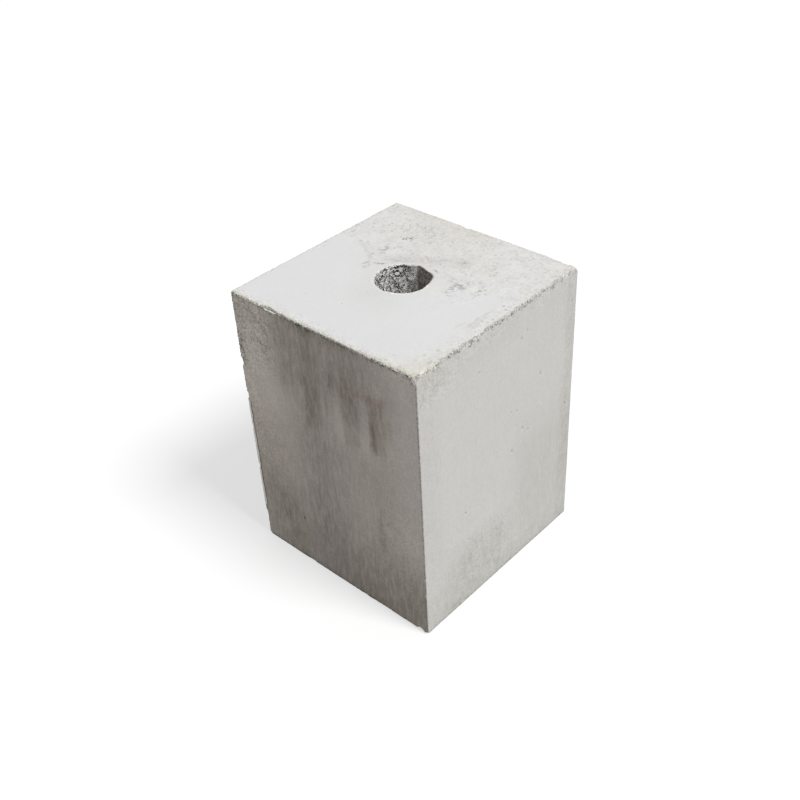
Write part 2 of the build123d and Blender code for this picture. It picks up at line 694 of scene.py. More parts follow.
    def _bore_point(self, point: Vector) -> Wear:
        """Wear a point of the socket's wall or of its mouth.

        Args:
            point: a point of the sharp block's surface, on or near the socket.

        Returns:
            What wear has done to it.
        """
        radius, height = self.size.bore_radius, self.size.height
        radial = math.hypot(point.x, point.y)
        angle = math.degrees(math.atan2(point.y, point.x)) % 360.0
        depth = min(height - point.z, point.z)
        upper = point.z > height / 2
        coarse = self.wall_coarse * crumbles(point, 3.4, shift=(5.0, 1.0, 2.0))
        ridges = noise.ridged_multi_fractal(point / 2.2, 0.9, 2.0, 3, 0.9, 2.0)
        fine = self.wall_fine * (ridges - 1.0)
        rough = (coarse + fine) * (0.25 + 0.75 * smooth_step(0.0, 3.0, depth))
        fade = 1.0 - smooth_step(0.0, self.rim_reach, radial - radius)
        shift = (self._mouth_wave(point, angle, depth) + rough) * fade
        round_off = self.rim_radius * (1.0 + 0.4 * swells(point, 4.0))
        core_radial = max(radial + shift, radius + shift + round_off)
        core_depth = max(depth, round_off)
        out_radial = radial + shift - core_radial
        out_depth = depth - core_depth
        length = math.hypot(out_radial, out_depth)
        if length > round_off:
            out_radial *= round_off / length
            out_depth *= round_off / length
        lip = 1.0 - smooth_step(0.0, self.lip_width, max(radial - radius, depth))
        bite = max(0.0, crumbles(point, 1.3) + 0.2) * 0.2 * lip
        scale = (core_radial + out_radial + bite) / radial
        new_depth = core_depth + out_depth + bite
        new_z = height - new_depth if upper else new_depth
        # Painted highlight on the near side of the mouth's rim.
        pale = self._rim_highlight(point, angle, lip) if upper and depth < 0.5 else 0.0
        return Wear(Vector((point.x * scale, point.y * scale, new_z)), broken=lip * 0.7, pale=pale)

    def _pitting(self, point: Vector, wear: Wear) -> None:
        """Sink a point that lies in a pit.

        Args:
            point: a point of the sharp block's surface.
            wear: what wear has done to it so far, which is changed.
        """
        for side, centre, pit in self.pits:
            offset = point - centre
            if max(map(abs, offset)) > pit.radius * pit.tall * 1.5:
                continue
            if side.upright:
                offset.z /= pit.tall
            warp = 1.0 + 0.5 * swells(point, 0.9)
            inside = 1.0 - smooth_step(0.4, 1.15, offset.length * warp / pit.radius)
            if inside > wear.pitted:
                wear.place -= side.normal * (pit.depth * (inside - wear.pitted))
                wear.pitted = inside

    def apply(self, point: Vector) -> Wear:
        """Wear one point of the sharp block, and keep it inside the block's box.

        Args:
            point: a point of its surface.

        Returns:
            What wear has done to it.
        """
        inside = math.hypot(point.x, point.y) < self.size.bore_radius + self.rim_reach
        wear = self._bore_point(point) if inside else self._body_point(point)
        self._pitting(point, wear)
        local = wear.place - self.size.middle
        kept = [max(-half, min(half, part)) for part, half in zip(local, self.size.half)]
        wear.place = self.size.middle + Vector(kept)
        return wear


@dataclass
class BlockMesh:
    """Builds the block's closed surface, fine where it is worn and coarser elsewhere."""

    size: BlockSize
    weathering: Weathering
    cells_wide: int = 68
    cells_high: int = 90
    packing: float = 0.72
    arris_band: float = 3.6
    arris_cell: float = 0.85
    pit_margins: tuple[float, ...] = (3.2, 1.6, 0.8)
    clear_half: float = 29.0
    ring_cuts: int = 11
    bore_rows: int = 96
    bore_packing: float = 0.6
    weld: float = 0.01
    skin: float = 0.001

    def __post_init__(self) -> None:
        """Start an empty mesh."""
        self.bm = bmesh.new()

    def build(self) -> bpy.types.Mesh:
        """Model the block and wear it.

        Returns:
            The finished mesh, in metres.
        """
        bm = self.bm
        for side in Side:
            self._panel(side)
        bmesh.ops.remove_doubles(bm, verts=bm.verts[:], dist=self.weld)
        self._bore()
        for _ in range(2):
            self._refine_arrises()
        for margin in self.pit_margins:
            self._refine_pits(margin)
        self._sort_faces()
        self._wear()
        bmesh.ops.recalc_face_normals(bm, faces=bm.faces[:])
        bmesh.ops.scale(bm, vec=Vector((METRES,) * 3), verts=bm.verts[:])
        mesh = bpy.data.meshes.new("concrete_block")
        bm.to_mesh(mesh)
        bm.free()
        mesh.shade_smooth()
        return mesh

    @staticmethod
    def _packed(share: float, packing: float) -> float:
        """Return a place from -1 to 1, drawn toward the nearer end so that cells shrink there."""
        return (1.0 - packing) * share + packing * math.sin(share * math.pi / 2)

    def _panel(self, side: Side) -> None:
        """Add one outer face as a grid whose cells shrink toward the arrises.

        Args:
            side: the face.
        """
        rows = self.cells_high if side.upright else self.cells_wide
        grid = bmesh.ops.create_grid(self.bm, x_segments=self.cells_wide, y_segments=rows, size=1.0)
        for vert in grid["verts"]:
            vert.co.x = self._packed(vert.co.x, self.packing)
            vert.co.y = self._packed(vert.co.y, self.packing)
        columns = Matrix.Identity(4)
        for column, way in enumerate((side.across, side.upward)):
            columns.col[column].xyz = way * abs(way.dot(self.size.half))
        columns.col[2].xyz = side.normal
        columns.translation = self.size.meeting(side)
        bmesh.ops.transform(self.bm, matrix=columns, verts=grid["verts"])

    def _bore(self) -> None:
        """Open the socket through the top and the base, and line it with its wall."""
        bm = self.bm
        middle = [
            face
            for face in bm.faces
            if all(max(abs(v.co.x), abs(v.co.y)) < self.clear_half for v in face.verts)
            and abs(face.normal.z) > 0.5
        ]
        bmesh.ops.delete(bm, geom=middle, context="FACES")
        rough_edges = [edge for edge in bm.edges if edge.is_boundary]
        bmesh.ops.subdivide_edges(bm, edges=rough_edges, cuts=1)
        circles = self._ring(self.size.height) + self._ring(0.0)
        wall = bmesh.ops.bridge_loops(bm, edges=circles)["edges"]
        uprights = [edge for edge in wall if abs(edge.verts[0].co.z - edge.verts[1].co.z) > 1.0]
        split = bmesh.ops.subdivide_edges(bm, edges=uprights, cuts=self.bore_rows, use_grid_fill=True)
        for item in split["geom_inner"]:
            if isinstance(item, bmesh.types.BMVert):
                share = item.co.z * 2.0 / self.size.height - 1.0
                item.co.z = (1.0 + self._packed(share, self.bore_packing)) * self.size.height / 2

    def _ring(self, height: float) -> list[bmesh.types.BMEdge]:
        """Fill an opening's square rim in to the socket's circle.

        Args:
            height: the height that the opening lies at.

        Returns:
            The edges of the circle.
        """
        opening = [
            edge
            for edge in self.bm.edges
            if edge.is_boundary and all(abs(v.co.z - height) < self.weld for v in edge.verts)
        ]
        grown = bmesh.ops.extrude_edge_only(self.bm, edges=opening)["geom"]
        ring = [item for item in grown if isinstance(item, bmesh.types.BMVert)]
        for vert in ring:
            vert.co.xy *= self.size.bore_radius / math.hypot(vert.co.x, vert.co.y)
        on_ring = set(ring)
        edges = [item for item in grown if isinstance(item, bmesh.types.BMEdge)]
        circle = [edge for edge in edges if on_ring.issuperset(edge.verts)]
        links = [e for v in ring for e in v.link_edges if e.other_vert(v) not in on_ring]
        bmesh.ops.subdivide_edges(self.bm, edges=links, cuts=self.ring_cuts, use_grid_fill=True)
        return circle

    def _refine_arrises(self) -> None:
        """Halve the longer cells along the arrises, where crumbs and chips need them."""
        close = set()
        for vert in self.bm.verts:
            gaps = sorted(self.size.gap(side, vert.co) for side in Side)
            if gaps[0] < self.weld and gaps[1] < self.arris_band:
                close.add(vert)
        between = [edge for edge in self.bm.edges if close.issuperset(edge.verts)]
        coarse = [edge for edge in between if edge.calc_length() > self.arris_cell]
        bmesh.ops.subdivide_edges(self.bm, edges=coarse, cuts=1, use_grid_fill=True)

    def _refine_pits(self, margin: float) -> None:
        """Halve the cells around each pit.

        Args:
            margin: how far past a pit's edge the cells are halved.
        """
        verts = self.bm.verts
        verts.ensure_lookup_table()
        self.bm.edges.index_update()
        tree = kdtree.KDTree(len(verts))
        for index, vert in enumerate(verts):
            tree.insert(vert.co, index)
        tree.balance()
        near = set()
        for _, centre, pit in self.weathering.pits:
            reach = pit.radius * pit.tall + margin
            found = {verts[index] for _, index, _ in tree.find_range(centre, reach)}
            for vert in found:
                near.update(edge for edge in vert.link_edges if edge.other_vert(vert) in found)
        ordered = sorted(near, key=lambda edge: edge.index)
        bmesh.ops.subdivide_edges(self.bm, edges=ordered, cuts=1, use_grid_fill=True)

    def _sort_faces(self) -> None:
        """Give each face the finish of the side that it lies on, and the wall that of the socket."""
        sides = list(Side)
        for face in self.bm.faces:
            middle = face.calc_center_median()
            inside = math.hypot(middle.x, middle.y) < self.size.bore_radius + self.skin
            level = min(middle.z, self.size.height - middle.z) > self.skin
            gaps = [self.size.gap(side, middle) for side in sides]
            face.material_index = len(sides) if inside and level else gaps.index(min(gaps))

    def _wear(self) -> None:
        """Move every point to its worn place and note how worn, pitted and pale it is, and its painted shade
        and highlight.
        """
        names = ("broken", "pitted", "pale")
        layers = {name: self.bm.verts.layers.float.new(name) for name in names}
        for vert in self.bm.verts:
            wear = self.weathering.apply(vert.co.copy())
            vert.co = wear.place
            for name, layer in layers.items():
                vert[layer] = getattr(wear, name)


class Nodes:
    """Adds shader nodes to one material or world in the fewest words."""

    def __init__(self, owner: bpy.types.Material | bpy.types.World) -> None:
        """Clear the owner's nodes.

        Args:
            owner: the material or world that the nodes belong to.
        """
        owner.use_nodes = True
        self.owner = owner
        self.tree = owner.node_tree
        self.tree.nodes.clear()

    def add(self, kind: str, inputs: dict | None = None, **settings: object) -> bpy.types.Node:
        """Add a node.

        Args:
            kind: the node's type, without its ShaderNode prefix.
            inputs: a value or a socket for each input, by its name or number.
            settings: values for the node's own properties.

        Returns:
            The node.
        """
        node = self.tree.nodes.new("ShaderNode" + kind)
        for name, value in settings.items():
            setattr(node, name, value)
        for key, value in (inputs or {}).items():
            if isinstance(value, Socket):
                self.tree.links.new(value, node.inputs[key])
            else:
                node.inputs[key].default_value = value
        return node

    def diffuse(self, level: float) -> Socket:
        """Return a dull grey surface of one level."""
        return self.add("BsdfDiffuse", {"Color": (level, level, level, 1.0)}).outputs[0]

    def choose(self, share: Socket, first: Socket, second: Socket) -> Socket:
        """Return the first surface where a share is 0, and the second where it is 1."""
        return self.add("MixShader", {0: share, 1: first, 2: second}).outputs[0]


class Paint(Nodes):
    """The nodes of one of the block's materials, laid out in the block's own millimetres."""

    def __init__(self, name: str, size: BlockSize) -> None:
        """Start a material that holds only the coordinates.

        Args:
            name: the material's name.
            size: the block's size.
        """
        super().__init__(bpy.data.materials.new(name))
        self.size = size
        inputs = {0: self.add("TexCoord").outputs["Object"], 3: 1.0 / METRES}
        self.place = self.add("VectorMath", inputs, operation="SCALE").outputs["Vector"]

    def maths(self, operation: str, *values: Socket | float) -> Socket:
        """Return the result of a sum on numbers."""
        return self.add("Math", dict(enumerate(values)), operation=operation).outputs[0]

    def vector(self, operation: str, *values: Socket | tuple) -> Socket:
        """Return the result of a sum on vectors."""
        return self.add("VectorMath", dict(enumerate(values)), operation=operation).outputs["Vector"]

    def parts(self, vector: Socket) -> bpy.types.NodeOutputs:
        """Return the three parts of a vector."""
        return self.add("SeparateXYZ", {0: vector}).outputs

    def layer(self, name: str) -> Socket:
        """Return what the mesh notes about each point under a name."""
        return self.add("Attribute", attribute_name=name).outputs["Fac"]

    def drawn(self, share: float) -> Socket:
        """Return coordinates whose marks are drawn out up and down, the more the less the share."""
        return self.vector("MULTIPLY", self.place, (1.0, 1.0, share))

    def noise(
        self,
        grain: float,
        detail: float = 3.0,
        rough: float = 0.55,
        warp: float = 0.0,
        place: Socket | None = None,
    ) -> Socket:
        """Return cloudy noise around 0.5.

        Args:
            grain: the size of its clouds, in millimetres.
            detail: how many finer layers it has.
            rough: how strong they are.
            warp: how far it is pulled about by itself.
            place: the coordinates, where they aren't the block's own.

        Returns:
            A socket with values from 0 to 1.
        """
        where = self.place if place is None else place
        inputs = {"Vector": where, "Scale": 1.0 / grain, "Detail": detail}
        inputs |= {"Roughness": rough, "Distortion": warp}
        return self.add("TexNoise", inputs).outputs["Fac"]

    def cells(self, grain: float) -> tuple[Socket, bpy.types.NodeOutputs]:
        """Return the distance from the nearest of many grains, and three numbers to pick it by."""
        node = self.add("TexVoronoi", {"Vector": self.place, "Scale": 1.0 / grain, "Randomness": 1.0})
        return node.outputs["Distance"], self.add("SeparateColor", {0: node.outputs["Color"]}).outputs

    def ramp(self, value: Socket, low: float, high: float, start: float = 0.0, end: float = 1.0) -> Socket:
        """Return a value eased from one result to another as it passes between two edges."""
        inputs = {"Value": value, "From Min": low, "From Max": high, "To Min": start, "To Max": end}
        node = self.add("MapRange", inputs, interpolation_type="SMOOTHSTEP", clamp=False)
        return node.outputs["Result"]

    def sway(
        self, level: Socket | float, wave: Socket, amount: float, mask: Socket | float = 1.0
    ) -> Socket:
        """Return a level that a noise raises and lowers.

        Args:
            level: the level so far.
            wave: the noise, around 0.5.
            amount: how far the noise moves the level.
            mask: how strongly the noise acts, from 0 to 1.

        Returns:
            The new level.
        """
        centred = self.maths("MULTIPLY", self.maths("SUBTRACT", wave, 0.5), mask)
        return self.maths("MULTIPLY_ADD", centred, 2.0 * amount, level)

    def crooked(self, wave: Socket, level: float, thick: float, thin: float, pick: Socket) -> Socket:
        """Return a mask of crooked lines.

        Args:
            wave: the noise whose level lines they follow.
            level: the level that they follow.
            thick: how far from the level a line ends.
            thin: how far from the level it is still whole.
            pick: a mask of where there are lines.

        Returns:
            The mask, from 0 to 1.
        """
        apart = self.maths("ABSOLUTE", self.maths("SUBTRACT", wave, level))
        return self.maths("MULTIPLY", self.ramp(apart, thick, thin), pick)

    def grey(self, level: Socket) -> Socket:
        """Return a grey of one level."""
        return self.add("CombineColor", {0: level, 1: level, 2: level}).outputs[0]

    def mix(
        self, share: Socket | float, base: Socket | Colour, top: Socket | Colour, blend: str = "MIX"
    ) -> Socket:
        """Return one colour laid over another.

        Args:
            share: how much of the upper colour shows.
            base: the lower colour.
            top: the upper colour.
            blend: how they are blended.

        Returns:
            The colour's socket.
        """
        layers = [item if isinstance(item, Socket) else (*item, 1.0) for item in (base, top)]
        inputs = {0: share, 6: layers[0], 7: layers[1]}
        return self.add("Mix", inputs, data_type="RGBA", blend_type=blend).outputs[2]

    def tint(self, share: Socket | float, base: Socket | Colour, top: Socket | Colour) -> Socket:
        """Return a colour multiplied by another, as far as a share says."""
        return self.mix(share, base, top, "MULTIPLY")

    def coat(
        self, colour: Socket, height: Socket, relief: float, rough: float, gloss: float
    ) -> bpy.types.Material:
        """Finish the material.

        Args:
            colour: its colour.
            height: the height of its fine relief.
            relief: what a height of 1 stands for, in millimetres.
            rough: how dull it is.
            gloss: how strongly it mirrors.

        Returns:
            The material.
        """
        inputs = {"Height": height, "Distance": relief * METRES, "Strength": 1.0}
        normal = self.add("Bump", inputs).outputs["Normal"]
        inputs = {"Base Color": colour, "Roughness": rough, "Specular IOR Level": gloss}
        shader = self.add("BsdfPrincipled", {**inputs, "Normal": normal})
        self.add("OutputMaterial", {"Surface": shader.outputs["BSDF"]})
        return self.owner


@dataclass(frozen=True)
class Patch:
    """A soft-sided rectangle on a face, turned about its middle by some degrees."""

    across: float
    up: float
    half_across: float
    half_up: float
    strength: float = 1.0
    soft_across: float = 0.6
    soft_up: float = 0.6
    turn: float = 0.0


@dataclass(frozen=True)
class Wash:
    """A tint that multiplies the colour under it, and the patches that carry it."""

    tint: Colour
    patches: tuple[Patch, ...]


def scar(points: tuple[tuple[float, float], ...], half: float, strength: float) -> list[Patch]:
    """Draw a thin line over a face.

    Args:
        points: the line's corners, across and up.
        half: half of its thickness.
        strength: how strong it is.

    Returns:
        One patch for each of its straight runs.
    """
    runs = []
    for (x0, y0), (x1, y1) in zip(points, points[1:]):
        turn = math.degrees(math.atan2(y1 - y0, x1 - x0))
        reach = math.hypot(x1 - x0, y1 - y0) / 2
        runs.append(Patch((x0 + x1) / 2, (y0 + y1) / 2, reach, half, strength, 0.25, 0.8, turn))
    return runs


@dataclass(frozen=True)
class EdgeTone:
    """A tint, dark or light, along the arris that a face shares with another."""

    toward: Side
    strength: float
    reach: float
    tint: Colour = (0.35, 0.34, 0.32)


@dataclass(frozen=True)
class ConcreteFinish:
    """The finish of one cast face: its tone, clouding, sand, streaks, rough zones and stains."""

    side: Side
    tone: Colour
    cloud: float = 0.05
    mottle: float = 0.04
    sand: float = 0.06
    streak: float = 0.0
    blotch: float = 0.06
    grit: float = 0.10
    grain: float = 1.9
    rough: float = 0.15
    specks: float = 0.3
    speck_size: float = 0.2
    speck_grain: float = 3.4
    speck_tone: Colour = (0.16, 0.15, 0.13)
    edges: tuple[EdgeTone, ...] = ()
    crumbs: float = 0.3
    crumb_grain: float = 0.9
    crumb_tone: Colour = (0.30, 0.285, 0.26)
    torn: tuple[Patch, ...] = ()
    tear_grain: float = 3.0
    tear_tone: Colour = (0.30, 0.285, 0.26)
    broken_tone: Colour = (0.54, 0.52, 0.48)
    broken_range: tuple[float, float] = (0.65, 1.25)
    grit_grain: float = 0.7
    # Pale paste on flash and ledges, brightened as their painted highlight, and the painted highlight on the
    # socket's rim.
    pale_and_highlight_tone: Colour = (0.80, 0.79, 0.75)
    # How far, and to what tone, the pits darken, with painted shade in the flash's groove and on the cove
    # walls.
    pit_and_shade_darkening: float = 0.4
    pit_and_shade_tone: Colour = (0.34, 0.32, 0.29)
    zones: tuple[Patch, ...] = ()
    stains: tuple[Wash, ...] = ()

    @property
    def all_edges(self) -> tuple[EdgeTone, ...]:
        """Return the tones along the face's arrises, or else light dirt along all four."""
        around = (other for other in Side if other.axis != self.side.axis)
        return self.edges or tuple(EdgeTone(other, 0.22, 1.6) for other in around)


class FacePaint(Paint):
    """Paints one cast face to its finish."""

    WANDER_GRAIN = 5.0
    WANDER_UPRIGHT = (6.0, 6.0, 16.0)
    WANDER_LEVEL = (7.0, 7.0, 7.0)

    def __init__(self, finish: ConcreteFinish, size: BlockSize) -> None:
        """Start the face's material.

        Args:
            finish: the face's finish.
            size: the block's size.
        """
        super().__init__("concrete_" + finish.side.name.lower(), size)
        self.finish = finish
        self.upright = finish.side.upright
        self.wandering = self._wandering()

    def build(self) -> bpy.types.Material:
        """Build the face's material.

        Returns:
            The material.
        """
        rough = self._rough()
        colour, bare = self._broken(self._tone(rough))
        colour = self._edge_dirt_and_painted_light(self._stained(colour))
        tears = self._tears()
        colour = self._marked(self.tint(tears, colour, self.finish.tear_tone))
        return self.coat(colour, self._relief(bare, rough, tears), relief=0.3, rough=0.92, gloss=0.25)

    def _wandering(self) -> Socket:
        """Return coordinates that wander, so that marks placed by them have uneven sides."""
        drawn = self.drawn(0.4 if self.upright else 1.0)
        inputs = {"Vector": drawn, "Scale": 1.0 / self.WANDER_GRAIN, "Detail": 4.0, "Roughness": 0.6}
        pull = self.vector("SUBTRACT", self.add("TexNoise", inputs).outputs["Color"], (0.5, 0.5, 0.5))
        reach = self.WANDER_UPRIGHT if self.upright else self.WANDER_LEVEL
        return self.vector("MULTIPLY_ADD", pull, reach, self.place)

    def _mask(self, patch: Patch) -> Socket:
        """Return a patch's strength inside it, easing to 0 past its sides.

        Args:
            patch: the patch.

        Returns:
            The mask's socket.
        """
        axis = self.finish.side.axis
        first, second = other_axes(axis)
        location, scale, rotation = [0.0] * 3, [1.0] * 3, [0.0] * 3
        location[first], location[second] = patch.across, patch.up
        scale[first], scale[second] = patch.half_across, patch.half_up
        rotation[axis] = math.radians(-patch.turn if axis == 1 else patch.turn)
        inputs = {"Vector": self.wandering, "Location": location, "Rotation": rotation, "Scale": scale}
        local = self.add("Mapping", inputs, vector_type="TEXTURE").outputs[0]
        apart = self.parts(self.vector("ABSOLUTE", local))
        soft, soft_up = patch.soft_across, patch.soft_up
        wide = self.ramp(apart[first], 1.0 + soft, max(0.0, 1.0 - soft))
        high = self.ramp(apart[second], 1.0 + soft_up, max(0.0, 1.0 - soft_up), 0.0, patch.strength)
        return self.maths("MULTIPLY", wide, high)

    def _rough(self) -> Socket:
        """Return how rough the skin is: the face's own roughness, and more in its rough zones."""
        rough = self.finish.rough
        for zone in self.finish.zones:
            rough = self.maths("ADD", self._mask(zone), rough)
        return self.maths("MINIMUM", rough, 1.0)

    def _tone(self, rough: Socket) -> Socket:
        """Return the clean face's colour.

        Args:
            rough: how rough the skin is.

        Returns:
            The colour's socket.
        """
        finish = self.finish
        level = self.sway(1.0, self.noise(34.0, 4.0, 0.55, 0.6), finish.cloud)
        level = self.sway(level, self.noise(7.0, 4.0, 0.6), finish.mottle)
        level = self.sway(level, self.noise(1.8, 2.0, 0.6), finish.sand)
        level = self.sway(level, self.noise(0.8, 1.0, 0.5), finish.sand)
        blotches = self.ramp(self.noise(5.5, 4.0, 0.65, 0.4), 0.35, 0.62)
        grains = self.ramp(self.noise(finish.grain, 4.0, 0.65, 0.5), 0.38, 0.6)
        level = self.sway(level, blotches, finish.blotch, rough)
        level = self.sway(level, grains, finish.grit, rough)
        if finish.streak:
            for drawn, grain, share in ((0.06, 2.6, 0.55), (0.3, 1.2, 1.0)):
                wave = self.noise(grain, 3.0, 0.6, place=self.drawn(drawn))
                level = self.sway(level, wave, finish.streak * share)
        colour = self.tint(1.0, finish.tone, self.grey(level))
        apart, picks = self.cells(finish.speck_grain)
        dot = self.ramp(apart, finish.speck_size, finish.speck_size * 0.4)
        rare = self.ramp(self.maths("MULTIPLY_ADD", rough, 0.5, picks[0]), 1.0, 1.15)
        mask = self.maths("MULTIPLY", self.maths("MULTIPLY", dot, rare), finish.specks)
        return self.mix(mask, colour, finish.speck_tone)

    def _broken(self, colour: Socket) -> tuple[Socket, Socket]:
        """Show sand and paste where the skin is broken.

        Args:
            colour: the clean face's colour.

        Returns:
            The colour's socket, and a socket that is 1 where grit stands bare.
        """
        broken = self.layer("broken")
        ragged = self.noise(1.3, 3.0, 0.7)
        share = self.maths("MULTIPLY_ADD", ragged, 1.2, self.maths("SUBTRACT", broken, 0.6))
        share = self.ramp(self.maths("MAXIMUM", share, 0.0), 0.12, 0.6)
        share = self.maths("MULTIPLY", share, self.ramp(broken, 0.02, 0.2))
        light = self.ramp(self.cells(self.finish.grit_grain)[1][0], 0.0, 1.0, *self.finish.broken_range)
        grit = self.tint(1.0, self.finish.broken_tone, self.grey(light))
        return self.mix(share, colour, grit), share

    def _stained(self, colour: Socket) -> Socket:
        """Lay the stains over the face.

        Args:
            colour: the colour of the face and of its broken edges.

        Returns:
            The stained colour's socket.
        """
        if not self.finish.stains:
            return colour
        drawn = self.drawn(0.2 if self.upright else 1.0)
        patchy = self.ramp(self.noise(2.6, 4.0, 0.65, place=drawn), 0.28, 0.72, 0.55, 1.3)
        for wash in self.finish.stains:
            for patch in wash.patches:
                mask = self.maths("MULTIPLY", self._mask(patch), patchy)
                colour = self.tint(mask, colour, wash.tint)
        return colour

    def _edge_dirt_and_painted_light(self, colour: Socket) -> Socket:
        """Tint the last millimetres beside the arrises with dirt, painted shade and painted highlights, as
        the face's edge tones give, and strew crumbs of dirt there.

        Args:
            colour: the stained colour.

        Returns:
            The colour's socket.
        """
        half = self.size.half
        away = self.vector("ABSOLUTE", self.vector("SUBTRACT", self.place, tuple(self.size.middle)))
        over = self.parts(self.vector("SUBTRACT", away, tuple(half)))
        first, second = other_axes(self.finish.side.axis)
        wave = self.noise(1.4, 3.0, 0.6)
        parts = self.parts(self.place)
        for edge in self.finish.all_edges:
            axis, sense, reach = edge.toward.axis, edge.toward.sense, edge.reach
            arris = half[axis] + sense * self.size.middle[axis]
            past = self.maths("MULTIPLY_ADD", parts[axis], float(sense), -arris)
            mask = self.ramp(self.sway(past, wave, 0.8 * reach), -reach, -0.3 * reach, 0.0, edge.strength)
            colour = self.tint(mask, colour, edge.tint)
        nearest = over[2] if self.upright else self.maths("MAXIMUM", over[first], over[second])
        spread = self.sway(nearest, self.noise(9.0, 3.0, 0.6), 4.0)
        chosen = self.ramp(self.cells(self.finish.crumb_grain)[1][0], 0.76, 0.88, 0.0, self.finish.crumbs)
        crumbs = self.maths("MULTIPLY", self.ramp(spread, -4.2, -0.8), chosen)
        return self.tint(crumbs, colour, self.finish.crumb_tone)

    def _tears(self) -> Socket | float:
        """Return a mask of the short crooked hollows where the skin has torn.

        Returns:
            The mask, from 0 to 1.
        """
        inside = 0.0
        if not self.finish.torn:
            return inside
        for patch in self.finish.torn:
            inside = self.maths("MAXIMUM", self._mask(patch), inside)
        grain = self.finish.tear_grain
        some = self.ramp(self.noise(grain * 1.6, 2.0, 0.5), 0.44, 0.56)
        lines = self.crooked(self.noise(grain, 3.0, 0.65, 0.6), 0.47, 0.06, 0.02, some)
        return self.maths("MULTIPLY", lines, inside)

    def _marked(self, colour: Socket) -> Socket:
        """Show pale paste with a painted highlight on the flash and ledges, a painted highlight on the
        socket's rim, darkening in the pits, and painted shade in the flash's groove and on the cove walls.

        Args:
            colour: the stained colour.

        Returns:
            The colour's socket.
        """
        pale = self.ramp(self.layer("pale"), 0.2, 0.8, 0.0, 0.9)
        colour = self.mix(pale, colour, self.finish.pale_and_highlight_tone)
        # Darkening in the pits, and painted shade in the flash's groove and on the cove walls.
        pit_and_shade_dark = self.ramp(self.layer("pitted"), 0.1, 0.9, 0.0, self.finish.pit_and_shade_darkening)
        return self.tint(pit_and_shade_dark, colour, self.finish.pit_and_shade_tone)

    def _relief(self, bare: Socket, rough: Socket, tears: Socket | float) -> Socket:
        """Return the height of a surface too fine for the mesh.

        Args:
            bare: 1 where grit stands bare.
            rough: how rough the skin is.
            tears: 1 in the hollows where the skin has torn.

        Returns:
            The height's socket.
        """
        fine = self.noise(0.8, 3.0, 0.65)
        broad = self.noise(3.5, 3.0, 0.6)
        height = self.maths("MULTIPLY_ADD", broad, 0.35, self.maths("MULTIPLY", fine, 0.15))
        coarse = self.maths("SUBTRACT", self.noise(1.5, 3.0, 0.65), 0.5)
        lumps = self.maths("MULTIPLY_ADD", rough, 0.5, self.maths("MULTIPLY", bare, 0.55))
        height = self.maths("MULTIPLY_ADD", coarse, lumps, height)
        return self.maths("MULTIPLY_ADD", tears, -0.9, height)


@dataclass(frozen=True)
class BoreFinish:
    """The socket's wall, where the core tore away and left stones and paste bare."""

    paste: Colour = (0.80, 0.78, 0.75)
    shade: Colour = (0.035, 0.033, 0.03)
    stone: Colour = (0.98, 0.975, 0.96)
    # The tint of the painted shade on the wall right of a vertical line.
    dim: Colour = (0.50, 0.475, 0.455)
    squiggle_grain: float = 2.6
    stone_grain: float = 1.7
    # Painted shade: the wall right of this X is darkened by the dim tint.
    shade_edge_across: float = -4.8
    bright_angle: float = 148.0
    bright_depth: float = 6.0
    bright_radius: float = 1.25
    bright_sunk: float = 0.5
    lip_shade: float = 1.6


